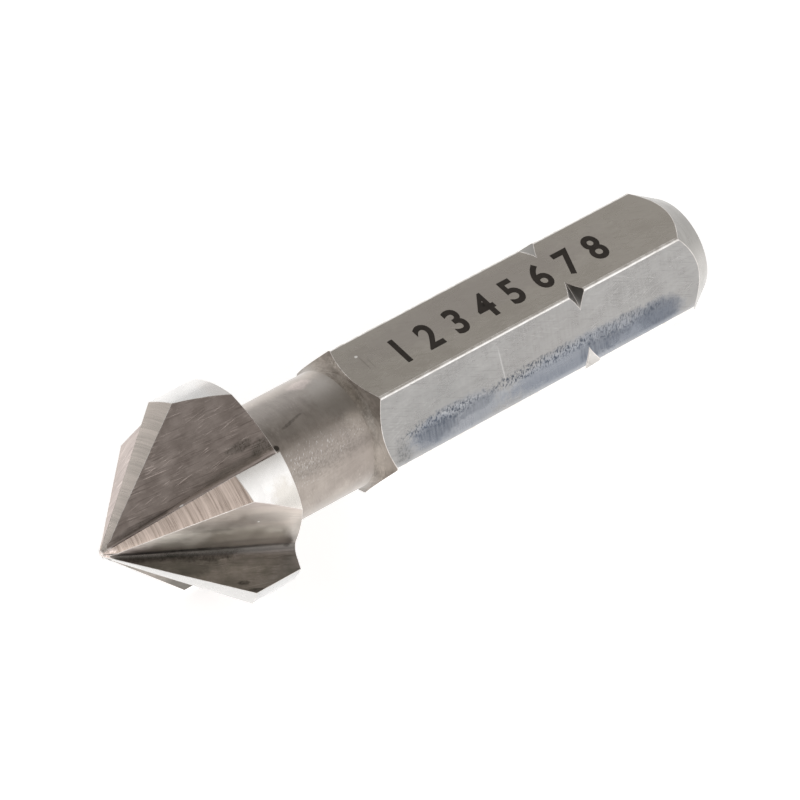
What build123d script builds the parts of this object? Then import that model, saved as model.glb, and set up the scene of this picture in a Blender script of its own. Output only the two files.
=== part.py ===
from build123d import *
from math import atan2, cos, degrees, radians, sin, tan
import os

# Countersink bit: a five-flute 90 degree head, a turned neck and a hexagonal bit shank.
# The bit is one piece of steel. It is made along its own axis, with the point at the start
# of the axis, and is then laid down as it rests: the shank slopes down to its rear end, one
# flat faces down and the head lies on its back rim.
# Lengths are in millimetres and angles in degrees.

# Cutting head
head_diameter = 10.4
point_angle = 90.0
tip_diameter = 0.3
margin_length = 2.6
back_angle = 21.4
back_fillet = 0.4

# Flutes: a rake face through the axis, a floor that climbs away from it, and a rounded root
# that widens towards the back
flute_count = 5
cutting_edge_angle = 120.85
flute_start_height = 0.23
flute_slope = 25.4
flute_angle = 88.3
root_radius_at_point = 0.12
root_radius_at_back = 0.56
relief_angle = 8.0

# Neck and shoulder
neck_diameter = 5.9
neck_end = 13.95
shoulder_angle = 38.0
shoulder_fillet = 0.3

# Hexagonal shank
hex_side_count = 6
hex_across_flats = 6.35
hex_edge_radius = 0.2
overall_length = 34.75
end_diameter = 5.1
end_chamfer_angle = 31.0
groove_from_end = 8.25
groove_width = 1.03
groove_depth = 0.34

# Room that a cutting tool or a trimming profile needs past the steel
clearance = 1.0

# Places along the axis and radii that follow from the sizes
head_radius = head_diameter / 2
tip_radius = tip_diameter / 2
neck_radius = neck_diameter / 2
end_radius = end_diameter / 2
half_point = radians(point_angle / 2)
cone_apex = -tip_radius / tan(half_point)
cone_end = cone_apex + head_radius / tan(half_point)
head_back = cone_end + margin_length
neck_start = head_back + (head_radius - neck_radius) * tan(radians(back_angle))
hex_half = hex_across_flats / 2
hex_corner = hex_half / cos(radians(180 / hex_side_count))
groove_centre = overall_length - groove_from_end
groove_radius = hex_corner - groove_depth
trim_radius = hex_corner + clearance
trim_start = neck_end + (trim_radius - neck_radius) * tan(radians(shoulder_angle))
groove_reach = groove_width / 2 * (trim_radius - groove_radius) / groove_depth
end_slope = tan(radians(end_chamfer_angle))
trim_end = overall_length - (trim_radius - end_radius) / end_slope
lower_flat_end = overall_length - (hex_half - end_radius) / end_slope

# Turned head and neck: the point, the cone, the cylindrical margin, the back and the neck
with BuildPart() as turned_head:
    with BuildSketch(Plane.XZ) as head_profile:
        with BuildLine():
            Polyline(
                (0, 0),
                (tip_radius, 0),
                (head_radius, cone_end),
                (head_radius, head_back),
                (neck_radius, neck_start),
                (neck_radius, trim_start),
                (0, trim_start),
                close=True,
            )
        make_face()
        neck_corner = head_profile.vertices().sort_by_distance((neck_radius, neck_start))[0]
        fillet(neck_corner, back_fillet)
    revolve(axis=Axis.Z)

# Shank: a hexagonal bar, trimmed by the shoulder cone, the locking groove and the end chamfer
with BuildPart() as shank:
    with BuildSketch(Plane.XY.offset(neck_end - clearance)):
        RegularPolygon(radius=hex_half, side_count=hex_side_count, major_radius=False)
    extrude(amount=overall_length - neck_end + clearance)
    fillet(shank.edges().filter_by(Axis.Z), hex_edge_radius)
    with BuildSketch(Plane.XZ) as trim_profile:
        with BuildLine():
            Polyline(
                (0, neck_end - clearance),
                (neck_radius, neck_end - clearance),
                (neck_radius, neck_end),
                (trim_radius, trim_start),
                (trim_radius, groove_centre - groove_reach),
                (groove_radius, groove_centre),
                (trim_radius, groove_centre + groove_reach),
                (trim_radius, trim_end),
                (end_radius, overall_length),
                (0, overall_length),
                close=True,
            )
        make_face()
        shoulder_corner = trim_profile.vertices().sort_by_distance((neck_radius, neck_end))[0]
        fillet(shoulder_corner, shoulder_fillet)
    revolve(axis=Axis.Z, mode=Mode.INTERSECT)

# Grinding wheel's path through one flute, square to the flute's root line
slope = radians(flute_slope)
floor_direction = radians(flute_angle)
flute_reach = head_diameter + clearance
flute_length = (neck_start + clearance) / cos(slope)
flute_plane = Plane(
    origin=(flute_start_height, 0, 0),
    x_dir=(cos(slope), 0, -sin(slope)),
    z_dir=(sin(slope), 0, cos(slope)),
)
with BuildPart() as flute_path:
    for section_plane, root_radius in (
        (flute_plane, root_radius_at_point),
        (flute_plane.offset(flute_length), root_radius_at_back),
    ):
        with BuildSketch(section_plane) as wheel_section:
            with BuildLine():
                Polyline(
                    (0, 0),
                    (flute_reach, 0),
                    (flute_reach, -flute_reach * sin(floor_direction)),
                    (flute_reach * cos(floor_direction), -flute_reach * sin(floor_direction)),
                    close=True,
                )
            make_face()
            root_corner = wheel_section.vertices().sort_by_distance((0, 0))[0]
            fillet(root_corner, root_radius)
    loft()

# Relief of one cone land: the space outside the cone, turned about the cutting edge so that
# the land falls away behind it
relief_reach = head_radius + clearance
with BuildPart() as cone_surroundings:
    with BuildSketch(Plane.XZ):
        with BuildLine():
            Polyline(
                (0, cone_apex),
                (relief_reach, cone_apex),
                (relief_reach, cone_apex + relief_reach / tan(half_point)),
                close=True,
            )
        make_face()
    revolve(axis=Axis.Z, revolution_arc=180 / flute_count)
cutting_edge = Axis(origin=(0, 0, cone_apex), direction=(sin(half_point), 0, cos(half_point)))
land_relief = cone_surroundings.part.rotate(cutting_edge, relief_angle)

# The whole bit on its own axis
with BuildPart() as bit:
    add(turned_head.part)
    add(shank.part)
    with PolarLocations(0, flute_count, start_angle=cutting_edge_angle):
        add(flute_path.part, mode=Mode.SUBTRACT)
        add(land_relief, mode=Mode.SUBTRACT)

# Resting plane: the axis slopes down from the head's back rim to the end of the lower flat,
# and the origin is under the middle of the bit
rest_tilt = atan2(head_radius - hex_half, lower_flat_end - head_back)
lying_plane = Plane(origin=(0, 0, 0), x_dir=(0, 1, 0), z_dir=(cos(rest_tilt), 0, -sin(rest_tilt)))
lying_box = bit.part.moved(lying_plane.location).bounding_box()
base_centre = Vector(lying_box.center().X, lying_box.center().Y, lying_box.min.Z)
resting_plane = Plane(origin=-base_centre, x_dir=lying_plane.x_dir, z_dir=lying_plane.z_dir)

with BuildPart(resting_plane) as countersink_bit:
    add(bit.part)

os.makedirs("parts", exist_ok=True)
countersink_bit.part.label = "countersink_bit"
export_step(countersink_bit.part, "parts/countersink_bit.step")
print("rest tilt", round(degrees(rest_tilt), 4))
print("point at", tuple(round(value, 4) for value in resting_plane.origin))
print("box", countersink_bit.part.bounding_box())
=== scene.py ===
import math

import bmesh
import bpy
import numpy as np
from mathutils import Matrix, Vector


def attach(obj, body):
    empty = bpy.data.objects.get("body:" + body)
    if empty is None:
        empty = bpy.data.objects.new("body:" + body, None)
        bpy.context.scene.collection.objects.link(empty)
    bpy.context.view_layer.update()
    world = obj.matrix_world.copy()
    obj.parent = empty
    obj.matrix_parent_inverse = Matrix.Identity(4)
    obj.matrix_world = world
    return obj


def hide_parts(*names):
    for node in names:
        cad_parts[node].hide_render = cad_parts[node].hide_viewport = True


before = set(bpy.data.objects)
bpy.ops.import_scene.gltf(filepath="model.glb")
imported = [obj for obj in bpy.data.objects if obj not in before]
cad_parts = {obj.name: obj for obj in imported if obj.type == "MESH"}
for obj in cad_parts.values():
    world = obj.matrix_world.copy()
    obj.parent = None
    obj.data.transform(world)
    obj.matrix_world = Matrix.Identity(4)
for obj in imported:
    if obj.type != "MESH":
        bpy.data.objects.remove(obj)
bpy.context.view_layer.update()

# Countersink bit lying on a pale floor. Sizes are in millimetres and angles in degrees. MM
# turns sizes into Blender's metres, and PER_METRE does so for counts per millimetre. The bit
# is made on its own axis, with the point at the start, and is laid down at the end.
MM = 0.001
PER_METRE = 1000.0

# Where the bit lies
POINT = (-17.4158, -0.0651, 5.777)
LYING_TILT = 4.4433

# Cutting head
HEAD_RADIUS = 5.2
HALF_POINT = 45.0
TIP_RADIUS = 0.15
MARGIN_LENGTH = 2.6
BACK_ANGLE = 21.4
FLUTES = 5
LOBE_TURN = 360 / FLUTES
CUTTING_EDGE_ANGLE = 120.85
FLUTE_START = 0.23
FLUTE_SLOPE = 25.4
FLUTE_ANGLE = 88.3
ROOT_AT_POINT = 0.12
ROOT_AT_BACK = 0.56
RELIEF_ANGLE = 8.0
RELIEF_ARC = 38.0

# Neck, shoulder and shank
NECK_RADIUS = 2.95
NECK_FILLET = 0.4
NECK_END = 13.95
SHOULDER_ANGLE = 38.0
SHOULDER_FILLET = 0.7
HEX_HALF = 3.175
HEX_ROUND = 0.2
LENGTH = 34.75
END_RADIUS = 2.55
END_ANGLE = 31.0
GROOVE_AT = 26.5
GROOVE_WIDTH = 1.03
GROOVE_DEPTH = 0.34

# Rounding left on the ground edges, and how far apart two normals on one surface may be
EDGE_ROUND = 0.018
SHARP_FROM = 22.0
SAME_SURFACE = SHARP_FROM + 4

# Places that follow from the sizes
CONE_APEX = -TIP_RADIUS / math.tan(math.radians(HALF_POINT))
CONE_END = CONE_APEX + HEAD_RADIUS / math.tan(math.radians(HALF_POINT))
HEAD_BACK = CONE_END + MARGIN_LENGTH
NECK_START = HEAD_BACK + (HEAD_RADIUS - NECK_RADIUS) * math.tan(math.radians(BACK_ANGLE))
HEX_CORNER = HEX_HALF / math.cos(math.radians(30))
FLUTE_LENGTH = (NECK_START + 1.0) / math.cos(math.radians(FLUTE_SLOPE))
OUTSIDE = HEX_CORNER + 1.0
OUTSIDE_START = NECK_END + (OUTSIDE - NECK_RADIUS) * math.tan(math.radians(SHOULDER_ANGLE))
GROOVE_RADIUS = HEX_CORNER - GROOVE_DEPTH
GROOVE_REACH = GROOVE_WIDTH / 2 * (OUTSIDE - GROOVE_RADIUS) / GROOVE_DEPTH
OUTSIDE_END = LENGTH - (OUTSIDE - END_RADIUS) / math.tan(math.radians(END_ANGLE))

# Solids that trim and cut the turned blank, and reach past it. Points nearer than ROOT_ZONE
# to a flute's root line are in its rounding, which widens.
BAR_START = 12.0
BAR_END = LENGTH + 1
GUARD_RADIUS = 2 * HEAD_RADIUS
GUARD_LENGTH = 16.0
GUARD_MIDDLE = 5.0
GUARD_SIDES = 16
FLUTE_REACH = 2.2 * HEAD_RADIUS
ROOT_ZONE = 2.0

# How many faces round the blank, and how many steps in each rounded corner
COLUMNS = 240
NECK_STEPS = 6
SHOULDER_STEPS = 8
HEX_STEPS = 4
ROOT_STEPS = 10

# Points closer than this are one: in a new solid, after the cuts, after the rounding of the
# edges and in the digits. Edges shorter than SPECK are dropped, and faces that turn less than
# FLAT_WITHIN from their neighbour join it.
SOLID_WELD = 0.0005
CUT_WELD = 0.008
ROUND_WELD = 0.0002
DIGIT_WELD = 0.0001
SPECK = 0.0001
FLAT_WITHIN = 0.3

# Map of the tool marks: radius at which the turned parts unroll, steps that keep the lobes,
# flutes and flats apart on it, how close to its cutting edge a face is on the rake, and how
# far before the neck's end the map starts to climb the shoulder
UNROLL_RADIUS = 3.0
LAND_STEP = 20.0
FLUTE_STEP = 30.0
FLAT_STEP = 9.0
RAKE_WITHIN = 0.6
SHOULDER_BEFORE = 2.0

# Digits on the upper flat: height as a share of the font's size, and thicker strokes
DIGIT_SHARE = 0.73
DIGIT_BOLD = 0.054


# ---------------------------------------------------------------------------- node helpers

def add_node(tree, kind, settings=None, **inputs):
    """Adds a node. Inputs are named by their labels, with _ for a space, or by in0, in1...
    Each is a value, another node's output, or a list of outputs that all go in."""
    made = tree.nodes.new(kind)
    for key, value in (settings or {}).items():
        setattr(made, key, value)
    for key, value in inputs.items():
        if key[:2] == "in" and key[2:].isdigit():
            socket = made.inputs[int(key[2:])]
        else:
            socket = made.inputs[key.replace("_", " ")]
        for part in value if isinstance(value, list) else [value]:
            if isinstance(part, bpy.types.NodeSocket):
                tree.links.new(part, socket)
            else:
                socket.default_value = part
    return made


def calc(tree, operation, first, second=0.0, third=0.0):
    """One sum on numbers or on other nodes' outputs."""
    made = add_node(tree, "ShaderNodeMath", {"operation": operation},
                    in0=first, in1=second, in2=third)
    return made.outputs[0]


def vector_calc(tree, operation, **inputs):
    """One sum on vectors."""
    made = add_node(tree, "ShaderNodeVectorMath", {"operation": operation}, **inputs)
    return made.outputs["Value" if operation in ("LENGTH", "DOT_PRODUCT") else "Vector"]


def stretch(tree, value, low, high, to_low=0.0, to_high=1.0):
    """Takes the range from low to high over to another one, and stops at its ends."""
    made = add_node(tree, "ShaderNodeMapRange", Value=value, From_Min=low, From_Max=high,
                    To_Min=to_low, To_Max=to_high)
    return made.outputs[0]


def blend(tree, amount, first, second):
    """Mixes two colours, each a row of three numbers or another node's output."""
    first, second = (part if isinstance(part, bpy.types.NodeSocket) else (*part, 1)
                     for part in (first, second))
    made = add_node(tree, "ShaderNodeMix", {"data_type": "RGBA"},
                    in0=amount, in6=first, in7=second)
    return made.outputs[2]


def new_material(name):
    """A material, its nodes and its shader."""
    material = bpy.data.materials.new(name)
    material.use_nodes = True
    return material, material.node_tree, material.node_tree.nodes["Principled BSDF"]


# ------------------------------------------------------------------------- mesh helpers

def add_object(name, data):
    made = bpy.data.objects.new(name, data)
    bpy.context.scene.collection.objects.link(made)
    return made


def final_mesh(maker):
    """The mesh that an object's modifiers or its text give."""
    depsgraph = bpy.context.evaluated_depsgraph_get()
    return bpy.data.meshes.new_from_object(maker.evaluated_get(depsgraph))


def mend(mesh, weld, repair):
    """Joins the points of a mesh that are closer than weld, then runs one more repair."""
    work = bmesh.new()
    work.from_mesh(mesh)
    bmesh.ops.remove_doubles(work, verts=work.verts, dist=weld)
    repair(work)
    work.to_mesh(mesh)
    work.free()


# ------------------------------------------------------------------------- shape of the bit

def rounded_corner(before, corner, after, radius, steps):
    """Points of the arc that rounds one corner of a profile."""
    a = (Vector(before) - Vector(corner)).normalized()
    b = (Vector(after) - Vector(corner)).normalized()
    half = a.angle(b) / 2
    centre = Vector(corner) + (a + b).normalized() * radius / math.sin(half)
    start = Vector(corner) + a * radius / math.tan(half) - centre
    end = Vector(corner) + b * radius / math.tan(half) - centre
    sweep = start.angle_signed(end)
    return [tuple(centre + Matrix.Rotation(-sweep * k / steps, 2) @ start)
            for k in range(steps + 1)]


def turned_profile():
    """Radius and height of the turned bit, from the point to the shank's end. The rows of
    ROW_FINISHES are the spaces between these points."""
    neck = (NECK_RADIUS, NECK_START)
    neck_end = (NECK_RADIUS, NECK_END)
    shoulder = (OUTSIDE, OUTSIDE_START)
    return (
        [(0, 0), (TIP_RADIUS, 0), (HEAD_RADIUS, CONE_END), (HEAD_RADIUS, HEAD_BACK)]
        + rounded_corner((HEAD_RADIUS, HEAD_BACK), neck, neck_end, NECK_FILLET, NECK_STEPS)
        + rounded_corner(neck, neck_end, shoulder, SHOULDER_FILLET, SHOULDER_STEPS)
        + [shoulder, (OUTSIDE, GROOVE_AT - GROOVE_REACH), (GROOVE_RADIUS, GROOVE_AT)]
        + [(OUTSIDE, GROOVE_AT + GROOVE_REACH), (OUTSIDE, OUTSIDE_END), (END_RADIUS, LENGTH)]
        + [(0, LENGTH)]
    )


# First row, last row and finish. All other rows have the turned finish or are trimmed away.
FILLET_ROW = 5 + NECK_STEPS
SHOULDER_ROW = FILLET_ROW + SHOULDER_STEPS
ROW_FINISHES = (
    (0, 0, "tip"),
    (1, 1, "land"),
    (2, 2, "margin"),
    (FILLET_ROW, SHOULDER_ROW, "shoulder"),
    (SHOULDER_ROW + 2, SHOULDER_ROW + 3, "groove"),
    (SHOULDER_ROW + 5, SHOULDER_ROW + 5, "chamfer"),
    (SHOULDER_ROW + 6, SHOULDER_ROW + 6, "end"),
)


def rows_of(tree, index, width):
    """The row of each point or face that is counted along rows of one width."""
    return calc(tree, "FLOOR", calc(tree, "DIVIDE", calc(tree, "ADD", index, 0.5), width))


def round_axis(tree, angle, radius, height):
    """A place at an angle round the axis, in radians."""
    return add_node(tree, "ShaderNodeCombineXYZ",
                    X=calc(tree, "MULTIPLY", calc(tree, "COSINE", angle), radius),
                    Y=calc(tree, "MULTIPLY", calc(tree, "SINE", angle), radius),
                    Z=height).outputs[0]


def painted(tree, shape, finish, **selection):
    """The shape with a finish on all of its faces, or on the selected ones."""
    return add_node(tree, "GeometryNodeSetMaterial", Geometry=shape, Material=finish,
                    **selection).outputs[0]


def prism(tree, outline, low, high, round_radius, steps):
    """A closed curve with rounded corners, filled and drawn up from one height to another."""
    curve = add_node(tree, "GeometryNodeFilletCurve", {"mode": "POLY"}, Curve=outline,
                     Radius=round_radius, Count=steps)
    face = add_node(tree, "GeometryNodeFillCurve", {"mode": "NGONS"}, Curve=curve.outputs[0])
    base = add_node(tree, "GeometryNodeTransform", Geometry=face.outputs[0],
                    Translation=(0, 0, low))
    drawn = add_node(tree, "GeometryNodeExtrudeMesh", Mesh=base.outputs[0],
                     Offset=(0, 0, 1), Offset_Scale=high - low, Individual=False)
    lid = add_node(tree, "GeometryNodeFlipFaces", Mesh=base.outputs[0])
    both = add_node(tree, "GeometryNodeJoinGeometry", in0=[drawn.outputs[0], lid.outputs[0]])
    closed = add_node(tree, "GeometryNodeMergeByDistance", Geometry=both.outputs[0],
                      Distance=SOLID_WELD)
    return closed.outputs[0]


def relieved_place(tree, given, angle, radius):
    """A place on a relieved land: the cone's straight line, turned inwards about the cutting
    edge."""
    side, up = math.sin(math.radians(HALF_POINT)), math.cos(math.radians(HALF_POINT))
    eased = add_node(tree, "ShaderNodeVectorRotate", {"rotation_type": "AXIS_ANGLE"},
                     Vector=round_axis(tree, angle, side, up), Axis=(side, 0, up),
                     Angle=calc(tree, "RADIANS", given["Relief angle"])).outputs[0]
    level = vector_calc(tree, "MULTIPLY", in0=eased, in1=(1, 1, 0))
    reach = calc(tree, "DIVIDE", radius, vector_calc(tree, "LENGTH", in0=level))
    on_line = vector_calc(tree, "SCALE", in0=eased, Scale=reach)
    return vector_calc(tree, "ADD", in0=on_line, in1=(0, 0, CONE_APEX))


def turned_blank(tree, given, finishes):
    """The profile's points, row by row, taken round the axis, with the lands relieved."""
    count = add_node(tree, "GeometryNodeAttributeDomainSize", Geometry=given["Geometry"])
    across = calc(tree, "ADD", given["Columns"], 1.0)
    grid = add_node(tree, "GeometryNodeMeshGrid", Size_X=1.0, Size_Y=1.0,
                    Vertices_X=count.outputs["Point Count"], Vertices_Y=across)
    index = add_node(tree, "GeometryNodeInputIndex").outputs[0]
    row = rows_of(tree, index, across)
    column = calc(tree, "SUBTRACT", index, calc(tree, "MULTIPLY", row, across))
    where = add_node(tree, "GeometryNodeInputPosition").outputs[0]
    point = add_node(tree, "GeometryNodeSampleIndex", {"data_type": "FLOAT_VECTOR"},
                     Geometry=given["Geometry"], Index=row, Value=where)
    size = add_node(tree, "ShaderNodeSeparateXYZ", in0=point.outputs[0])
    radius, height = size.outputs[0], size.outputs[2]

    # Each lobe starts half a column before its cutting edge. The small sum keeps a rounding
    # error from leaving its first column to the lobe before.
    step = calc(tree, "DIVIDE", 360.0, given["Columns"])
    lobe = calc(tree, "DIVIDE", 360.0, given["Flutes"])
    turned = calc(tree, "MULTIPLY", column, step)
    lobe_start = calc(tree, "MULTIPLY", lobe, calc(tree, "FLOOR", calc(
        tree, "DIVIDE", calc(tree, "ADD", turned, 0.01), lobe)))
    behind = calc(tree, "SUBTRACT", calc(tree, "SUBTRACT", turned, lobe_start),
                  calc(tree, "MULTIPLY", step, 0.5))
    angle = calc(tree, "RADIANS", behind)

    # The two rows of points at the ends of the cone are relieved, behind each cutting edge
    on_land = calc(tree, "MULTIPLY", calc(tree, "COMPARE", row, 1.5, 0.6),
                   calc(tree, "LESS_THAN", behind, given["Relief arc"]))
    chosen = add_node(tree, "ShaderNodeMix", {"data_type": "VECTOR"}, in0=on_land,
                      in4=round_axis(tree, angle, radius, height),
                      in5=relieved_place(tree, given, angle, radius))
    placed = add_node(tree, "ShaderNodeVectorRotate", {"rotation_type": "Z_AXIS"},
                      Vector=chosen.outputs[1], Angle=calc(tree, "RADIANS", calc(
                          tree, "ADD", lobe_start, given["Cutting edge angle"])))
    blank = add_node(tree, "GeometryNodeSetPosition", Geometry=grid.outputs["Mesh"],
                     Position=placed.outputs[0])

    face_row = rows_of(tree, index, given["Columns"])
    shape = painted(tree, blank.outputs[0], finishes["turned"])
    for first_row, last_row, finish in ROW_FINISHES:
        middle, reach = (first_row + last_row) / 2, (last_row - first_row) / 2 + 0.5
        shape = painted(tree, shape, finishes[finish],
                        Selection=calc(tree, "COMPARE", face_row, middle, reach))
    outwards = add_node(tree, "GeometryNodeFlipFaces", Mesh=shape)
    closed = add_node(tree, "GeometryNodeMergeByDistance", Geometry=outwards.outputs[0],
                      Distance=SOLID_WELD)
    return closed.outputs[0]


def hexagonal_bar(tree, given, finishes):
    """The shank's hexagon, with a wide guard round the turned part, which it leaves alone."""
    corners = add_node(tree, "GeometryNodeCurvePrimitiveCircle", Resolution=6,
                       Radius=given["Hexagon corner"])
    bar = prism(tree, corners.outputs[0], BAR_START, BAR_END, given["Hexagon round"],
                HEX_STEPS)
    bar = painted(tree, bar, finishes["flat"])
    where = add_node(tree, "GeometryNodeInputPosition").outputs[0]
    level = vector_calc(tree, "MULTIPLY", in0=where, in1=(1, 1, 0))
    on_corner = calc(tree, "GREATER_THAN", vector_calc(tree, "LENGTH", in0=level),
                     (HEX_HALF + HEX_CORNER) / 2)
    bar = painted(tree, bar, finishes["corner"], Selection=on_corner)
    guard = add_node(tree, "GeometryNodeMeshCylinder", Vertices=GUARD_SIDES,
                     Radius=GUARD_RADIUS, Depth=GUARD_LENGTH)
    guard = add_node(tree, "GeometryNodeTransform", Geometry=guard.outputs["Mesh"],
                     Translation=(0, 0, GUARD_MIDDLE))
    return add_node(tree, "GeometryNodeMeshBoolean", {"operation": "UNION"},
                    Mesh_2=[bar, guard.outputs[0]]).outputs[0]


def flute_paths(tree, given, finishes):
    """The grinding wheel's path through one flute, then the same path at every flute."""
    floor_way = math.radians(FLUTE_ANGLE)
    section = add_node(
        tree, "GeometryNodeCurvePrimitiveQuadrilateral", {"mode": "POINTS"},
        Point_1=(0, 0, 0), Point_2=(FLUTE_REACH, 0, 0), Point_3=(FLUTE_REACH, -FLUTE_REACH, 0),
        Point_4=(FLUTE_REACH * math.cos(floor_way), -FLUTE_REACH * math.sin(floor_way), 0))
    path = prism(tree, section.outputs[0], 0.0, FLUTE_LENGTH,
                 given["Root radius at the back"], ROOT_STEPS)

    # The rounded root widens from the point to the back
    where = add_node(tree, "GeometryNodeInputPosition").outputs[0]
    place = add_node(tree, "ShaderNodeSeparateXYZ", in0=where).outputs
    root = stretch(tree, place[2], 0.0, FLUTE_LENGTH, given["Root radius at the point"],
                   given["Root radius at the back"])
    share = calc(tree, "DIVIDE", root, given["Root radius at the back"])
    widened = add_node(tree, "ShaderNodeCombineXYZ", X=calc(tree, "MULTIPLY", place[0], share),
                       Y=calc(tree, "MULTIPLY", place[1], share), Z=place[2])
    aside = calc(tree, "MAXIMUM", calc(tree, "ABSOLUTE", place[0]),
                 calc(tree, "ABSOLUTE", place[1]))
    path = add_node(tree, "GeometryNodeSetPosition", Geometry=path,
                    Selection=calc(tree, "LESS_THAN", aside, ROOT_ZONE),
                    Position=widened.outputs[0])

    # The path leans, and starts a little off the axis
    lean = add_node(tree, "ShaderNodeCombineXYZ",
                    Y=calc(tree, "RADIANS", given["Flute slope"]))
    off_axis = add_node(tree, "ShaderNodeCombineXYZ", X=given["Flute start"])
    path = add_node(tree, "GeometryNodeTransform", Geometry=path.outputs[0],
                    Translation=off_axis.outputs[0], Rotation=lean.outputs[0])
    path = painted(tree, path.outputs[0], finishes["flute"])
    stations = add_node(tree, "GeometryNodePoints", Count=given["Flutes"])
    index = add_node(tree, "GeometryNodeInputIndex").outputs[0]
    lobe = calc(tree, "DIVIDE", 360.0, given["Flutes"])
    facing = add_node(tree, "ShaderNodeCombineXYZ", Z=calc(tree, "RADIANS", calc(
        tree, "ADD", given["Cutting edge angle"], calc(tree, "MULTIPLY", index, lobe))))
    paths = add_node(tree, "GeometryNodeInstanceOnPoints", Points=stations.outputs[0],
                     Instance=path, Rotation=facing.outputs[0])
    return add_node(tree, "GeometryNodeRealizeInstances",
                    Geometry=paths.outputs[0]).outputs[0]


def bit_tree(finishes):
    """The whole bit by its rule: a turned, relieved blank, a hexagon and one grinding wheel's
    path repeated for every flute. Geometry in: the turned profile as a row of points."""
    tree = bpy.data.node_groups.new("fluted_bit", "GeometryNodeTree")
    sizes = {
        "Flutes": ("NodeSocketInt", FLUTES),
        "Columns": ("NodeSocketInt", COLUMNS),
        "Cutting edge angle": ("NodeSocketFloat", CUTTING_EDGE_ANGLE),
        "Relief angle": ("NodeSocketFloat", RELIEF_ANGLE),
        "Relief arc": ("NodeSocketFloat", RELIEF_ARC),
        "Flute slope": ("NodeSocketFloat", FLUTE_SLOPE),
        "Flute start": ("NodeSocketFloat", FLUTE_START),
        "Root radius at the point": ("NodeSocketFloat", ROOT_AT_POINT),
        "Root radius at the back": ("NodeSocketFloat", ROOT_AT_BACK),
        "Hexagon corner": ("NodeSocketFloat", HEX_CORNER),
        "Hexagon round": ("NodeSocketFloat", HEX_ROUND),
    }
    tree.interface.new_socket("Geometry", in_out="INPUT", socket_type="NodeSocketGeometry")
    for name, (kind, value) in sizes.items():
        made = tree.interface.new_socket(name, in_out="INPUT", socket_type=kind)
        made.default_value = value
    tree.interface.new_socket("Geometry", in_out="OUTPUT", socket_type="NodeSocketGeometry")
    given = tree.nodes.new("NodeGroupInput").outputs

    trimmed = add_node(tree, "GeometryNodeMeshBoolean", {"operation": "INTERSECT"},
                       Mesh_2=[turned_blank(tree, given, finishes),
                               hexagonal_bar(tree, given, finishes)])
    ground = add_node(tree, "GeometryNodeMeshBoolean", {"operation": "DIFFERENCE"},
                      Mesh_1=trimmed.outputs[0], Mesh_2=flute_paths(tree, given, finishes))
    whole = add_node(tree, "GeometryNodeRealizeInstances", Geometry=ground.outputs[0])
    add_node(tree, "NodeGroupOutput", in0=whole.outputs[0])
    return tree


def ground_bit(finishes):
    """The bit as one closed mesh on its own axis, in millimetres, with rounded edges."""
    rows = [(r, 0, z) for r, z in turned_profile()]
    profile = bpy.data.meshes.new("turned_profile")
    profile.from_pydata(rows, [(k, k + 1) for k in range(len(rows) - 1)], [])
    maker = add_object("bit_maker", profile)
    rule = maker.modifiers.new("flutes", "NODES")
    rule.node_group = bit_tree(finishes)
    sockets = {item.name: item.identifier for item in rule.node_group.interface.items_tree
               if item.in_out == "INPUT"}
    rule[sockets["Flutes"]] = FLUTES
    rule[sockets["Flute slope"]] = FLUTE_SLOPE
    shape = final_mesh(maker)
    maker.modifiers.remove(rule)

    # The cuts leave slivers and split flats, which the rounding can't follow
    mend(shape, CUT_WELD, lambda work: bmesh.ops.dissolve_limit(
        work, angle_limit=math.radians(FLAT_WITHIN), verts=work.verts, edges=work.edges,
        delimit={"MATERIAL"}))
    shape.materials.append(finishes["edge"])

    maker.data = shape
    rounding = maker.modifiers.new("edge_rounding", "BEVEL")
    rounding.width = EDGE_ROUND
    rounding.segments = 2
    rounding.limit_method = "ANGLE"
    rounding.angle_limit = math.radians(SHARP_FROM)
    rounding.use_clamp_overlap = False
    rounding.material = len(shape.materials) - 1
    rounded = final_mesh(maker)
    bpy.data.objects.remove(maker)

    # Where rounded edges meet at the tip, a few faces have shrunk to nothing
    mend(rounded, ROUND_WELD, lambda work: bmesh.ops.dissolve_degenerate(
        work, edges=work.edges, dist=SPECK))
    return rounded


def shade_by_surface(mesh):
    """Smooth shading inside each ground surface, carried on across its rounded edges."""
    edge_slot = [m.name for m in mesh.materials].index("rounded_edge_highlight")
    faces = mesh.polygons
    round_vertex = {}
    flat_vertex = {}
    for face in faces:
        store = round_vertex if face.material_index == edge_slot else flat_vertex
        for vertex in face.vertices:
            store.setdefault(vertex, []).append((face.normal.copy(), face.area))
    near = math.cos(math.radians(SAME_SURFACE))
    normals = []
    for face in faces:
        on_edge = face.material_index == edge_slot
        for vertex in face.vertices:
            around = flat_vertex.get(vertex)
            if on_edge and around:
                best = max(around, key=lambda pair: pair[0].dot(face.normal))[0]
                chosen = [pair for pair in around if pair[0].dot(best) > near]
            elif on_edge:
                chosen = round_vertex[vertex]
            else:
                chosen = [pair for pair in around if pair[0].dot(face.normal) > near]
            total = sum((normal * area for normal, area in chosen), Vector())
            normals.append(total.normalized() if total.length > 0 else face.normal.copy())
    faces.foreach_set("use_smooth", [True] * len(faces))
    mesh.normals_split_custom_set(normals)


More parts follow.
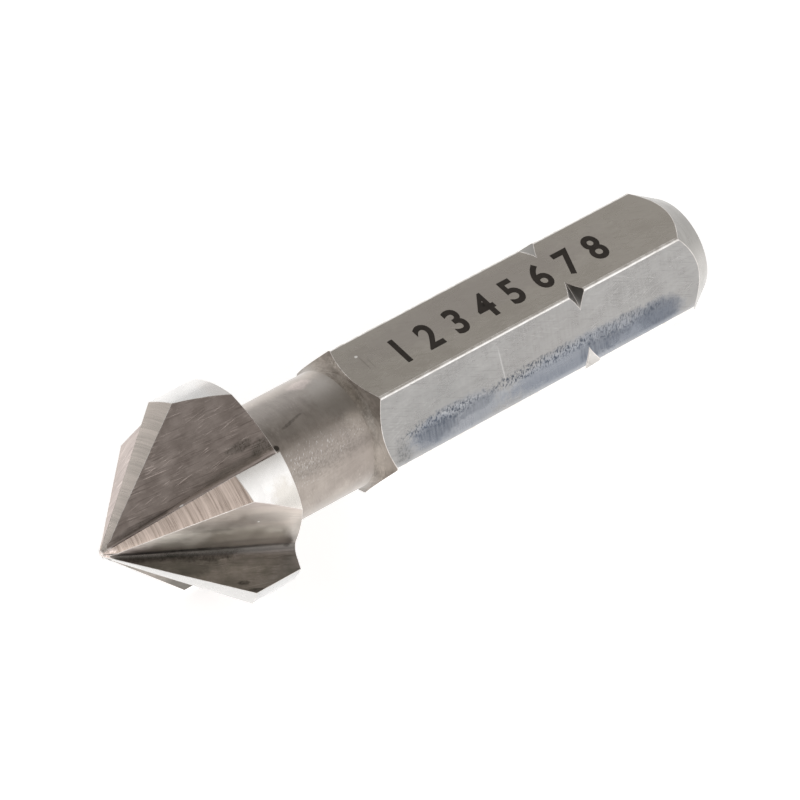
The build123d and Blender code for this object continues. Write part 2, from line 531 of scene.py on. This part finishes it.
def lay_grind_lines(mesh):
    """A map in millimetres whose first direction follows the marks that each tool left."""
    names = [m.name for m in mesh.materials]
    points = np.array([v.co[:] for v in mesh.vertices])
    layer = mesh.uv_layers.new(name="grind")
    slope = math.radians(FLUTE_SLOPE)
    for face in mesh.polygons:
        kind = names[face.material_index]
        middle = points[list(face.vertices)].mean(axis=0)
        turn = math.degrees(math.atan2(middle[1], middle[0]))
        past_edge = (turn - CUTTING_EDGE_ANGLE) % 360
        lobe = math.floor(past_edge / LOBE_TURN)
        for loop in face.loop_indices:
            x, y, z = points[mesh.loops[loop].vertex_index]
            r = math.hypot(x, y)
            here = math.degrees(math.atan2(y, x)) if r > 1e-6 else turn
            here = turn + (here - turn + 180) % 360 - 180
            wrapped = (turn + 90) % 360 + here - turn
            along, over = math.radians(wrapped) * UNROLL_RADIUS, z
            if kind == "cone_land":
                start = CUTTING_EDGE_ANGLE + lobe * LOBE_TURN
                behind = math.radians((turn - start) % 360 + here - turn)
                along, over = behind * r + LAND_STEP * lobe, math.hypot(r, z - CONE_APEX)
            elif kind == "margin_land":
                along = math.radians(wrapped) * HEAD_RADIUS
            elif kind == "flute_ground":
                edge = CUTTING_EDGE_ANGLE + (lobe + 1) * LOBE_TURN
                if (turn - CUTTING_EDGE_ANGLE) % LOBE_TURN < RAKE_WITHIN:
                    edge -= LOBE_TURN
                c, s = math.cos(math.radians(edge)), math.sin(math.radians(edge))
                out, aside = x * c + y * s - FLUTE_START, y * c - x * s
                along = (out * math.sin(slope) + z * math.cos(slope)
                         + FLUTE_STEP * edge / LOBE_TURN)
                over = out * math.cos(slope) - z * math.sin(slope) + aside
            elif kind in ("hexagon_flat", "rolled_corner"):
                flat = math.radians(60 * math.floor(turn / 60) + 30)
                along = z
                over = (y * math.cos(flat) - x * math.sin(flat)
                        + FLAT_STEP * math.degrees(flat) / 60)
            elif kind in ("sawn_end", "blunt_tip"):
                along, over = x, y
            elif (kind in ("turned_neck", "turned_shoulder")
                  and z > NECK_END - SHOULDER_BEFORE):
                over = z + r - 2 * NECK_RADIUS
            elif kind != "rounded_edge_highlight":
                over = z - r
            layer.data[loop].uv = (along, over)


def lay_down(mesh):
    """Turns a mesh made on the bit's axis to where the bit lies, in metres."""
    tilt = math.radians(LYING_TILT)
    place = Matrix((
        (0, math.sin(tilt), math.cos(tilt), POINT[0]),
        (1, 0, 0, POINT[1]),
        (0, math.cos(tilt), -math.sin(tilt), POINT[2]),
        (0, 0, 0, 1),
    ))
    mesh.transform(Matrix.Scale(MM, 4) @ place)


# ------------------------------------------------------------------------------- finishes

# Range of the roughness on one finish, and where on its map each scratch pattern starts
ROUGH_SPREAD = 0.12
SCRATCH_OFFSETS = ((5, 1, 0), (9, 4, 0))


def steel(name, light, dark, roughness, lines=(0.35, 14.0), contrast=(0.38, 0.62),
          line_depth=0.004, patches=0.4, patch_scale=1.2, scratches=0.4,
          scratch_turns=(0.5, -0.35), specks=0.0, rake_shade_colour=None, dabs=()):
    """Bright steel with the marks of one tool: fine lines along the map's first direction,
    broader streaks, patches, stray scratches and specks. Patterns are counted per millimetre,
    along and across, and turned in radians. A rake side can be painted darker, as painted
    shade. Each dab is a place on the map, half its length and width, a colour, how much of it,
    how ragged and how grainy it is. Dabs paint light and shade as well as marks."""
    material, tree, shader = new_material(name)
    place = add_node(tree, "ShaderNodeUVMap", {"uv_map": "grind"}).outputs[0]
    solid = add_node(tree, "ShaderNodeTexCoord").outputs["Object"]

    def noise(vector, scale, detail, rough=0.6, turn=0.0, offset=(0, 0, 0), bend=0.0):
        if turn:
            mapped = add_node(tree, "ShaderNodeMapping", {"vector_type": "TEXTURE"},
                              Vector=vector, Scale=tuple(1 / s for s in scale),
                              Rotation=(0, 0, turn), Location=offset)
        else:
            mapped = add_node(tree, "ShaderNodeMapping", Vector=vector, Scale=scale,
                              Location=offset)
        made = add_node(tree, "ShaderNodeTexNoise", Vector=mapped.outputs[0], Scale=1.0,
                        Detail=detail, Roughness=rough, Distortion=bend)
        return made.outputs["Fac"]

    def times(first, second):
        return calc(tree, "MULTIPLY", first, second)

    fine = noise(place, (lines[0], lines[1], 1), detail=5, rough=0.7)
    broad = noise(place, (lines[0] * 0.6, lines[1] * 0.22, 1), detail=3, offset=(3, 8, 0))
    marks = calc(tree, "ADD", times(fine, 0.6), times(broad, 0.4))
    shade = stretch(tree, marks, *contrast)
    cloud = noise(solid, (patch_scale * PER_METRE,) * 3, detail=6, rough=0.65,
                  offset=(4, 2, 7))
    cloud = stretch(tree, cloud, 0.36, 0.64)
    mixed = calc(tree, "ADD", times(shade, 1.0 - patches), times(cloud, patches))

    # Stray scratches run at an angle to the tool's own lines, light ones and dark furrows
    scratch = 0.0
    for turn, offset in zip(scratch_turns, SCRATCH_OFFSETS):
        long_noise = noise(place, (0.6, 18.0, 1), detail=2, rough=0.4, turn=turn,
                           offset=offset, bend=0.1)
        gate = noise(place, (1.1, 1.5, 1), detail=2, rough=0.5, offset=offset)
        one = times(stretch(tree, long_noise, 0.6, 0.7), stretch(tree, gate, 0.46, 0.6))
        scratch = calc(tree, "MAXIMUM", scratch, one)
    scratch = times(scratch, scratches)
    furrow = noise(place, (0.7, 16.0, 1), detail=2, rough=0.4, turn=scratch_turns[0] * 0.8,
                   offset=(2, 6, 0), bend=0.1)
    furrow = times(stretch(tree, furrow, 0.4, 0.3), scratches)
    mixed = calc(tree, "SUBTRACT", mixed, furrow)

    if specks:
        spread = add_node(tree, "ShaderNodeMapping", Vector=place, Scale=(3.2, 7.5, 1),
                          Rotation=(0, 0, 0.15))
        cells = add_node(tree, "ShaderNodeTexVoronoi", Vector=spread.outputs[0], Scale=1.0)
        spot = stretch(tree, cells.outputs["Distance"], 0.34, 0.14)
        rare = noise(solid, (0.6 * PER_METRE,) * 3, detail=5, rough=0.7, offset=(1, 1, 1))
        spot = times(times(spot, stretch(tree, rare, 0.5, 0.62)), specks)
        mixed = calc(tree, "ADD", mixed, spot)
    colour = blend(tree, mixed, dark, light)
    colour = blend(tree, scratch, colour, [min(1.0, 1.4 * part) for part in light])

    # Painted shade: the rake side is darkened towards the rake's darker colour
    if rake_shade_colour:
        split = add_node(tree, "ShaderNodeSeparateXYZ", in0=place)
        rake_shade = times(stretch(tree, split.outputs[1], 0.05, 0.5),
                          stretch(tree, cloud, 0.0, 1.0, 0.75, 0.5))
        colour = blend(tree, rake_shade, colour, rake_shade_colour)

    if dabs:
        torn = noise(place, (2.2, 2.6, 1), detail=6, rough=0.72, offset=(7, 7, 0))
        torn = calc(tree, "SUBTRACT", torn, 0.5)
        grain = noise(place, (10.0, 5.5, 1), detail=4, rough=0.65, turn=0.45,
                      offset=(1, 3, 0), bend=0.3)
        grain = stretch(tree, grain, 0.49, 0.58)
        streak = noise(place, (8.0, 0.9, 1), detail=4, rough=0.65, turn=0.1,
                       offset=(4, 1, 0), bend=0.2)
        streak = stretch(tree, streak, 0.36, 0.64)
        fleck = noise(place, (4.5, 19.0, 1), detail=3, turn=-0.35, offset=(6, 2, 0))
        fleck = stretch(tree, fleck, 0.6, 0.7)
    for u, v, half_length, half_width, tint, amount, ragged, grainy in dabs:
        apart = add_node(tree, "ShaderNodeMapping", {"vector_type": "TEXTURE"}, Vector=place,
                         Location=(u, v, 0), Scale=(half_length, half_width, 1))
        reach = vector_calc(tree, "LENGTH", in0=apart.outputs[0])
        reach = calc(tree, "MULTIPLY_ADD", torn, 4.0 * ragged, reach)
        mask = stretch(tree, reach, 1.0, 0.6, 0.0, amount)
        if grainy == FLECKS:
            mask = times(mask, fleck)
        elif grainy:
            pattern = grain if grainy > 0 else streak
            mask = times(mask, stretch(tree, pattern, 0, 1, 1.0 - abs(grainy), 1.0))
        colour = blend(tree, mask, colour, tint)

    tree.links.new(colour, shader.inputs["Base Color"])
    shader.inputs["Metallic"].default_value = 1.0
    uneven = calc(tree, "ADD", times(cloud, 0.5), times(fine, 0.5))
    rough = stretch(tree, uneven, 0.3, 0.8, roughness - ROUGH_SPREAD / 2,
                    roughness + ROUGH_SPREAD / 2)
    tree.links.new(rough, shader.inputs["Roughness"])
    height = calc(tree, "SUBTRACT", calc(tree, "ADD", marks, times(cloud, 0.3)),
                  times(scratch, 0.8))
    bump = add_node(tree, "ShaderNodeBump", Height=height, Strength=1.0,
                    Distance=line_depth * MM)
    tree.links.new(bump.outputs[0], shader.inputs["Normal"])
    return material


# Colours that more than one dab has. The near-black ones paint shade in the flutes' roots; the
# first also makes a row of dark dots on the neck.
NEAR_BLACK = (0.035, 0.032, 0.026)
WARM_ROOT_SHADE = (0.05, 0.05, 0.035)
BROWN = (0.22, 0.19, 0.17)
FURROW = (0.2, 0.185, 0.16)
WHITE = (0.97, 0.96, 0.95)
STAIN = (0.24, 0.258, 0.295)
BLUE_STAIN = (0.12, 0.14, 0.18)
DARK_STAIN = (0.075, 0.085, 0.105)

# Places of the dabs on each finish's map, which paint light and shade as well as marks:
# centre, half sizes, colour, amount, ragged, and grainy, which is below nothing for streaks
# that run across and FLECKS for a few small flecks. A half size of WHOLE takes a dab right
# across its finish.
FLECKS = 2.0
WHOLE = 100.0
NECK_SHADE_AND_DOTS = (
    # Painted reflection and shade on the neck: a dark grey band along its top, and lighter,
    # darker and browner bands round its front. Among them are a row of dark dots and a dark
    # spot.
    (9.35, 8.0, 1.75, 9.0, (0.19, 0.195, 0.2), 0.25, 0.1, 0.0),
    (9.6, 10.2, 1.6, 1.6, (0.38, 0.355, 0.33), 0.6, 0.3, 0.0),
    (11.3, 8.1, 0.5, 3.4, (0.7, 0.65, 0.6), 0.3, 0.3, 1.0),
    (12.4, 8.5, 1.6, 3.4, (0.5, 0.45, 0.41), 0.3, 0.3, -0.9),
    (13.1, 7.6, 1.4, 2.6, (0.22, 0.195, 0.175), 0.25, 0.25, 0.0),
    (11.4, 10.2, 0.8, 0.7, (0.58, 0.52, 0.46), 0.35, 0.2, 0.0),
    (11.8, 8.4, 1.3, 3.8, (0.2, 0.175, 0.155), 0.45, 0.35, 1.0),
    (13.1, 10.3, 2.2, 1.9, BROWN, 0.4, 0.25, 0.0),
    (11.55, 8.0, 0.5, 3.0, BROWN, 0.3, 0.2, 0.0),
    # White flecks: painted glints
    (11.6, 8.0, 0.8, 3.2, WHITE, 0.6, 0.25, FLECKS),
    (12.4, 6.6, 0.9, 1.6, WHITE, 0.5, 0.3, FLECKS),
    (10.03, 6.92, 0.08, 0.22, NEAR_BLACK, 0.4, 0.06, 0.3),
    (9.97, 7.17, 0.09, 0.24, NEAR_BLACK, 0.45, 0.06, 0.3),
    (9.91, 7.42, 0.09, 0.24, NEAR_BLACK, 0.45, 0.06, 0.3),
    (9.85, 7.67, 0.08, 0.24, NEAR_BLACK, 0.4, 0.06, 0.3),
    (9.79, 7.92, 0.07, 0.22, NEAR_BLACK, 0.35, 0.06, 0.3),
    (10.72, 5.92, 0.16, 0.18, NEAR_BLACK, 0.9, 0.35, 0.0),
    (8.1, 9.3, 0.5, 0.7, (0.66, 0.56, 0.53), 0.45, 0.3, 0.3),
    # Painted shade: a darker ring round the neck's end, where it meets the shoulder
    (12.0, 11.75, WHOLE, 1.6, (0.2, 0.172, 0.145), 0.4, 0.2, 0.0),
)
SHOULDER_SHADE_AND_HIGHLIGHT = (
    # Painted shade: a dark ring over the shoulder. Painted highlight: light arcs by the neck's
    # fillet.
    (12.0, 12.7, WHOLE, 1.4, (0.11, 0.092, 0.076), 0.5, 0.25, 0.0),
    (10.5, 10.95, 2.0, 0.34, (0.6, 0.55, 0.5), 0.66, 0.15, 0.45),
    (13.2, 11.6, 1.4, 1.0, (0.36, 0.32, 0.285), 0.4, 0.3, 0.0),
    (9.0, 11.7, 1.2, 0.5, (0.6, 0.54, 0.48), 0.4, 0.3, 0.8),
)
LAND_LIGHT_AND_SHADE = (
    # Painted light and shade: two lobes' lands in their own tones, one lighter and one darker,
    # and a light patch near the point
    (24.0, 4.0, 8.0, WHOLE, (0.56, 0.56, 0.555), 0.93, 0.0, 0.0),
    (84.0, 4.0, 8.0, WHOLE, (0.42, 0.4, 0.372), 0.6, 0.0, 0.0),
    (0.15, 0.45, 0.5, 0.5, (0.95, 0.82, 0.78), 0.7, 0.2, 0.8),
)
MARGIN_LIGHT_AND_SHADE = (
    # Painted light and shade: three lobes' margins each in their own tone, and two patches
    # darker towards the back
    (14.4, 6.5, 4.2, WHOLE, (0.56, 0.555, 0.55), 0.85, 0.0, 0.0),
    (21.2, 6.5, 4.2, WHOLE, (0.83, 0.815, 0.8), 0.85, 0.0, 0.0),
    (15.2, 7.6, 2.2, 0.9, (0.52, 0.48, 0.45), 0.45, 0.2, 0.0),
    (28.0, 6.5, 4.2, WHOLE, (0.46, 0.46, 0.46), 0.95, 0.0, 0.0),
    (21.8, 7.1, 1.9, 1.1, (0.6, 0.55, 0.48), 0.5, 0.3, 0.0),
)
FLUTE_SHADE_AND_GLINTS = (
    # Painted light and shade in the first flute: its floor lighter towards the cutting edge
    # above it, darker at the back and in strips under the edge
    (86.3, -2.4, 4.6, 1.7, (0.66, 0.6, 0.53), 0.55, 0.03, 0.0),
    (85.8, -1.1, 4.6, 1.2, (1.0, 0.95, 0.86), 0.75, 0.03, 0.0),
    (90.0, -1.5, 1.7, 2.4, (0.33, 0.3, 0.275), 0.78, 0.06, 0.0),
    (89.5, -0.7, 0.8, 0.6, (0.25, 0.23, 0.21), 0.5, 0.06, 0.0),
    (87.5, -2.75, 1.6, 0.6, (0.38, 0.35, 0.32), 0.45, 0.08, 0.0),
    (85.1, -2.2, 1.6, 0.6, (0.36, 0.33, 0.3), 0.45, 0.08, 0.0),
    # Painted shade along the first flute's root, with near-black patches in it and on the rake
    (87.3, -0.45, 3.6, 0.6, (0.18, 0.162, 0.147), 0.35, 0.05, 0.0),
    (84.0, -0.06, 5.4, 0.34, (0.085, 0.078, 0.07), 0.78, 0.05, 0.0),
    (88.1, -0.14, 3.5, 0.3, (0.125, 0.116, 0.107), 0.82, 0.04, 0.0),
    (88.6, 0.13, 2.9, 0.17, (0.13, 0.12, 0.11), 0.5, 0.04, 0.0),
    (84.9, 0.1, 2.2, 0.5, NEAR_BLACK, 0.7, 0.35, 0.25),
    (82.2, 0.1, 2.6, 0.35, NEAR_BLACK, 0.65, 0.25, 0.3),
    (82.6, 0.7, 3.9, 0.75, (0.05, 0.05, 0.042), 0.52, 0.25, 0.0),
    (87.1, 0.6, 1.2, 0.4, (0.08, 0.076, 0.068), 0.25, 0.3, 0.0),
    (86.6, 1.75, 0.35, 0.14, NEAR_BLACK, 0.7, 0.4, 0.4),
    (87.2, 2.15, 0.5, 0.12, NEAR_BLACK, 0.75, 0.4, 0.3),
    (88.87, -0.2, 0.2, 0.14, NEAR_BLACK, 0.75, 0.3, 0.4),
    # Painted shade in the fifth flute: a duller floor and a dark root
    (207.0, -3.3, 3.2, 1.6, (0.45, 0.392, 0.367), 0.5, 0.3, 0.0),
    (208.0, -1.1, 0.8, 0.28, WARM_ROOT_SHADE, 0.6, 0.4, 0.4),
    (209.0, -0.65, 0.8, 0.42, WARM_ROOT_SHADE, 0.6, 0.4, 0.4),
    (207.4, -0.35, 2.0, 0.32, (0.14, 0.14, 0.115), 0.35, 0.35, 0.2),
    (202.5, -0.2, 1.8, 0.22, (0.07, 0.062, 0.055), 0.5, 0.25, 0.2),
    # Painted glints: two white specks
    (204.44, -0.02, 0.13, 0.09, WHITE, 1.0, 0.0, 0.0),
    (87.0, -2.42, 0.07, 0.06, WHITE, 0.9, 0.0, 0.0),
    # Painted shade on the second flute's rake
    (117.0, 2.1, 2.0, 1.2, (0.08, 0.08, 0.07), 0.6, 0.05, 0.0),
)
FLAT_SHADING_AND_STAINS = (
    # Painted light and shade: each flat in its own tone, the top one warmer, the front one
    # darker, and the flat below the front one painted white as a reflection
    (25.0, 0.0, WHOLE, 16.0, (0.38, 0.368, 0.352), 0.65, 0.0, 0.0),
    (25.0, -22.5, WHOLE, 3.2, (1.0, 1.0, 1.0), 0.95, 0.0, 0.0),
    (25.0, 22.5, WHOLE, 3.2, (0.316, 0.308, 0.303), 0.7, 0.0, 0.0),
    (25.0, 13.5, WHOLE, 3.2, (0.4, 0.368, 0.325), 0.75, 0.0, 0.0),
    (22.0, 12.9, 9.0, 1.3, (0.31, 0.28, 0.265), 0.35, 0.35, 0.0),
    (24.5, 22.0, 3.6, 1.4, (0.26, 0.245, 0.235), 0.25, 0.25, 0.0),
    (25.0, 21.9, 12.0, 1.9, (0.44, 0.435, 0.43), 0.2, 0.25, -1.0),
    (18.0, 22.2, 3.5, 1.0, (0.24, 0.24, 0.235), 0.35, 0.35, -0.8),
    (18.3, 23.5, 3.4, 1.0, STAIN, 0.72, 0.15, 0.0),
    (26.0, 23.6, 5.8, 1.0, STAIN, 0.85, 0.15, 0.0),
    (30.6, 23.7, 2.0, 0.9, STAIN, 0.85, 0.13, 0.0),
    (18.0, 23.5, 3.4, 0.9, (0.36, 0.37, 0.39), 0.6, 0.2, -1.0),
    (26.0, 23.7, 6.5, 0.8, (0.38, 0.39, 0.41), 0.6, 0.2, -1.0),
    (18.0, 23.0, 2.6, 0.3, WHITE, 0.2, 0.3, -0.9),
    (26.0, 23.2, 6.0, 0.5, WHITE, 0.14, 0.3, -0.9),
    (17.6, 23.0, 2.9, 0.42, DARK_STAIN, 1.0, 0.3, 0.97),
    (23.6, 23.0, 4.2, 0.38, DARK_STAIN, 1.0, 0.3, 0.95),
    (28.6, 23.2, 3.0, 0.5, DARK_STAIN, 0.75, 0.35, 0.7),
    (30.9, 23.6, 1.6, 0.75, DARK_STAIN, 0.62, 0.25, 0.3),
    (16.9, 23.4, 1.5, 0.75, BLUE_STAIN, 0.6, 0.35, -0.6),
    (25.0, 23.6, 4.0, 0.6, BLUE_STAIN, 0.6, 0.4, -0.8),
    (29.5, 23.8, 2.5, 0.6, BLUE_STAIN, 0.5, 0.4, -0.8),
    (17.3, 23.45, 1.6, 0.5, DARK_STAIN, 0.6, 0.35, -0.8),
    (19.4, 23.3, 1.4, 0.4, DARK_STAIN, 0.6, 0.4, -0.8),
    (27.3, 23.6, 1.8, 0.5, DARK_STAIN, 0.5, 0.4, -0.8),
    (15.0, 23.8, 0.55, 0.9, (0.1, 0.105, 0.11), 0.6, 0.3, 0.6),
    (25.0, 24.7, WHOLE, 0.7, (0.62, 0.63, 0.65), 0.5, 0.05, 0.0),
    (21.45, 22.1, 0.05, 1.1, (0.62, 0.61, 0.6), 0.4, 0.05, 0.0),
    (15.24, 12.7, 0.1, 0.08, (0.85, 0.84, 0.82), 0.9, 0.1, 0.0),
    (15.33, 13.2, 0.045, 0.5, FURROW, 0.45, 0.04, 0.0),
    (15.58, 13.4, 0.04, 0.4, FURROW, 0.35, 0.04, 0.0),
)
GROOVE_SHADE = (
    # Painted shade inside the groove: darker where it crosses one corner, near-black at the
    # top front corner
    (7.85, 23.0, 1.4, 9.0, (0.26, 0.25, 0.235), 0.85, 0.0, 0.0),
    (10.9, 23.45, 1.2, 0.4, (0.07, 0.066, 0.06), 0.9, 0.0, 0.0),
)
CHAMFER_LIGHT = (
    # Painted light: one side of the end chamfer is lighter than the rest
    (14.0, 32.0, 2.6, WHOLE, (0.38, 0.367, 0.35), 0.9, 0.0, 0.0),
)


def finishes_of_the_bit():
    """One finish for every tool that shaped the bit. Colours are light, then dark."""
    return {
        "turned": steel("turned_neck", (0.435, 0.387, 0.348), (0.26, 0.227, 0.203), 0.34,
                        lines=(0.5, 14.0), contrast=(0.3, 0.7), line_depth=0.002, patches=0.6,
                        patch_scale=1.0, scratches=0.15, specks=0.6, dabs=NECK_SHADE_AND_DOTS),
        "shoulder": steel("turned_shoulder", (0.36, 0.318, 0.28), (0.15, 0.13, 0.11), 0.42,
                          lines=(0.9, 9.0), line_depth=0.01, patches=0.7, patch_scale=1.6,
                          specks=0.6, dabs=SHOULDER_SHADE_AND_HIGHLIGHT),
        "land": steel("cone_land", (0.59, 0.49, 0.43), (0.27, 0.215, 0.18), 0.3,
                      lines=(0.2, 8.5), contrast=(0.4, 0.58), line_depth=0.008,
                      patches=0.15, scratches=0.15, scratch_turns=(0.15, -0.2),
                      dabs=LAND_LIGHT_AND_SHADE),
        "margin": steel("margin_land", (0.72, 0.7, 0.68), (0.55, 0.52, 0.485), 0.26,
                        lines=(0.3, 9.0), line_depth=0.0015, patches=0.6, scratches=0.15,
                        dabs=MARGIN_LIGHT_AND_SHADE),
        # The flute's rake side gets painted shade, and its dabs paint light, shade and glints
        "flute": steel("flute_ground", (0.6, 0.525, 0.49), (0.34, 0.287, 0.267), 0.36,
                       lines=(0.3, 10.0), contrast=(0.27, 0.73), line_depth=0.004,
                       patches=0.3, scratches=0.85, scratch_turns=(0.12, -0.16), specks=0.25,
                       rake_shade_colour=(0.15, 0.15, 0.127), dabs=FLUTE_SHADE_AND_GLINTS),
        "flat": steel("hexagon_flat", (0.56, 0.548, 0.53), (0.195, 0.187, 0.175), 0.3,
                      lines=(0.4, 7.0), line_depth=0.0015, patches=0.6, patch_scale=0.6,
                      scratches=0.55, specks=0.6, dabs=FLAT_SHADING_AND_STAINS),
        # Painted highlight: the rounded corners are far lighter than the flats, for the light
        # they catch
        "corner": steel("rolled_corner", (0.97, 0.95, 0.93), (0.64, 0.61, 0.58), 0.28,
                        lines=(2.4, 9.0), line_depth=0.002, patches=0.7, patch_scale=2.2),
        "groove": steel("turned_groove", (0.6, 0.585, 0.57), (0.4, 0.38, 0.36), 0.34,
                        lines=(0.8, 12.0), line_depth=0.003, patches=0.6, dabs=GROOVE_SHADE),
        "chamfer": steel("end_chamfer", (0.295, 0.286, 0.272), (0.205, 0.197, 0.186), 0.32,
                         lines=(0.4, 14.0), line_depth=0.002, patches=0.5,
                         dabs=CHAMFER_LIGHT),
        "end": steel("sawn_end", (0.46, 0.44, 0.41), (0.28, 0.26, 0.24), 0.4,
                     lines=(0.4, 8.0), line_depth=0.006, patches=0.4),
        "tip": steel("blunt_tip", (0.8, 0.7, 0.66), (0.3, 0.25, 0.22), 0.4,
                     lines=(4.0, 4.0), line_depth=0.006, patches=0.7, patch_scale=4.0),
        # Painted highlight: the rounded edges are lighter than the surfaces they join, for the
        # thin light lines that edges catch
        "edge": steel("rounded_edge_highlight", (0.9, 0.86, 0.83), (0.45, 0.415, 0.39), 0.42,
                      lines=(1.5, 3.0), line_depth=0.001, patches=0.7, patch_scale=1.6,
                      scratches=0.0),
    }


def burnt_mark():
    """Near-black brown laser burn, a little uneven."""
    material, tree, shader = new_material("laser_burn")
    solid = add_node(tree, "ShaderNodeTexCoord").outputs["Object"]
    grain = add_node(tree, "ShaderNodeTexNoise", Vector=solid, Scale=3.5 * PER_METRE,
                     Detail=4.0).outputs["Fac"]
    colour = blend(tree, grain, (0.018, 0.014, 0.011), (0.05, 0.041, 0.034))
    tree.links.new(colour, shader.inputs["Base Color"])
    shader.inputs["Metallic"].default_value = 0.0
    shader.inputs["Specular IOR Level"].default_value = 0.15
    shader.inputs["Roughness"].default_value = 0.55
    bump = add_node(tree, "ShaderNodeBump", Height=grain, Strength=1.0, Distance=0.002 * MM)
    tree.links.new(bump.outputs[0], shader.inputs["Normal"])
    return material


# --------------------------------------------------------------------------------- pieces

def make_bit():
    mesh = ground_bit(finishes_of_the_bit())
    shade_by_surface(mesh)
    lay_grind_lines(mesh)
    lay_down(mesh)
    bit = add_object("fluted_bit", mesh)
    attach(bit, "root")
    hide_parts("countersink_bit")


def make_marks(digits, start, end, height, thickness=0.01):
    """Plain numbers burnt on the upper flat, as thin closed plates let into it."""
    text = bpy.data.curves.new("number_row", "FONT")
    text.body = digits
    text.size = height / DIGIT_SHARE
    text.offset = DIGIT_BOLD
    text.resolution_u = 5
    text.extrude = thickness / 2
    text.space_character = 1.1
    maker = add_object("number_maker", text)
    mesh = final_mesh(maker)
    bpy.data.objects.remove(maker)
    width = max(v.co.x for v in mesh.vertices)
    for vertex in mesh.vertices:
        x, y, h = vertex.co
        along = start + x * (end - start) / width
        vertex.co = (y - height / 2, HEX_HALF + h, along)
    mend(mesh, DIGIT_WELD, lambda work: bmesh.ops.recalc_face_normals(work, faces=work.faces))
    mesh.materials.clear()
    mesh.materials.append(burnt_mark())
    lay_down(mesh)
    marks = add_object("number_marks", mesh)
    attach(marks, "root")


# ---------------------------------------------------------------------- floor, lights, view

# Room: light of the walls and the ceiling and the heights between which it changes. The dim
# side is darker from a rim to a middle, which are cosines of the angle to its direction.
WALL_LIGHT = (1.0, 1.0, 1.0, 1)
CEILING_LIGHT = (0.3, 0.277, 0.248, 1)
WALL_TOP, CEILING_FROM = 0.5, 0.84
DIM_SIDE = (-125, 60)
DIM_RIM, DIM_MIDDLE = 0.8, 0.97
DIM_LIGHT = 0.72
FLOOR_GLOW = 0.6


def direction(azimuth, elevation):
    """The way from the bit towards an azimuth and an elevation."""
    a, e = math.radians(azimuth), math.radians(elevation)
    return Vector((math.cos(e) * math.cos(a), math.cos(e) * math.sin(a), math.sin(e)))


def make_floor(half=3.0):
    """A white floor. To the camera it glows a little, and in the steel it glows fully, so
    that it is as pale there as the room."""
    mesh = bpy.data.meshes.new("floor")
    mesh.from_pydata([(-half, -half, 0), (half, -half, 0), (half, half, 0), (-half, half, 0)],
                     [], [(0, 1, 2, 3)])
    floor = add_object("floor", mesh)
    material, tree, shader = new_material("white_floor")
    shader.inputs["Base Color"].default_value = (0.85, 0.85, 0.85, 1)
    shader.inputs["Roughness"].default_value = 0.9
    shader.inputs["Emission Color"].default_value = (1, 1, 1, 1)
    path = add_node(tree, "ShaderNodeLightPath").outputs
    mirrored = calc(tree, "MAXIMUM", path["Is Glossy Ray"], path["Is Transmission Ray"])
    seen = calc(tree, "ADD", calc(tree, "MULTIPLY", path["Is Camera Ray"], FLOOR_GLOW),
                mirrored)
    tree.links.new(seen, shader.inputs["Emission Strength"])
    mesh.materials.append(material)


def make_room():
    """A white room with a darker ceiling, which is darkest on one side."""
    world = bpy.data.worlds.new("studio")
    bpy.context.scene.world = world
    world.use_nodes = True
    tree = world.node_tree
    sky = tree.nodes["Background"]
    way = add_node(tree, "ShaderNodeTexCoord").outputs["Generated"]
    high = add_node(tree, "ShaderNodeSeparateXYZ", in0=way).outputs[2]
    ramp = add_node(tree, "ShaderNodeValToRGB", Fac=high)
    stops = ramp.color_ramp.elements
    stops[0].position, stops[0].color = WALL_TOP, WALL_LIGHT
    stops[1].position, stops[1].color = CEILING_FROM, CEILING_LIGHT
    tree.links.new(ramp.outputs[0], sky.inputs["Color"])
    toward = vector_calc(tree, "DOT_PRODUCT", in0=way, in1=direction(*DIM_SIDE))
    strength = stretch(tree, toward, DIM_RIM, DIM_MIDDLE, 1.0, DIM_LIGHT)
    tree.links.new(strength, sky.inputs["Strength"])


def make_lamp(name, azimuth, elevation, distance, size, power):
    """A soft round lamp that faces the bit. Its sizes are in metres."""
    lamp = bpy.data.lights.new(name, "AREA")
    lamp.shape = "DISK"
    lamp.size = size
    lamp.energy = power
    holder = add_object(name, lamp)
    way = direction(azimuth, elevation)
    holder.location = way * distance
    holder.rotation_euler = way.to_track_quat("Z", "Y").to_euler()


def make_camera(azimuth, elevation, roll, distance, aim, lens):
    camera = bpy.data.cameras.new("camera")
    camera.lens = lens
    camera.sensor_width = 36.0
    camera.clip_start = 0.01
    camera.clip_end = 20.0
    holder = add_object("camera", camera)
    way = direction(azimuth, elevation)
    holder.location = (Vector(aim) + way * distance) * MM
    turned = way.to_track_quat("Z", "Y").to_matrix() @ Matrix.Rotation(
        math.radians(roll), 3, "Z")
    holder.rotation_euler = turned.to_euler()
    bpy.context.scene.camera = holder


def main():
    make_bit()
    make_marks("1 2 3 4 5 6 7 8", start=16.7, end=29.7, height=1.56)
    make_floor()
    make_room()
    make_lamp("front_lamp", azimuth=-50.0, elevation=28.0, distance=0.5, size=0.30,
              power=0.08)
    make_camera(azimuth=-133.8996, elevation=48.7949, roll=4.8636, distance=285.7,
                aim=(-4.0768, -4.5856, 11.0918), lens=287.3)
    bpy.context.scene.view_settings.view_transform = "Standard"


main()
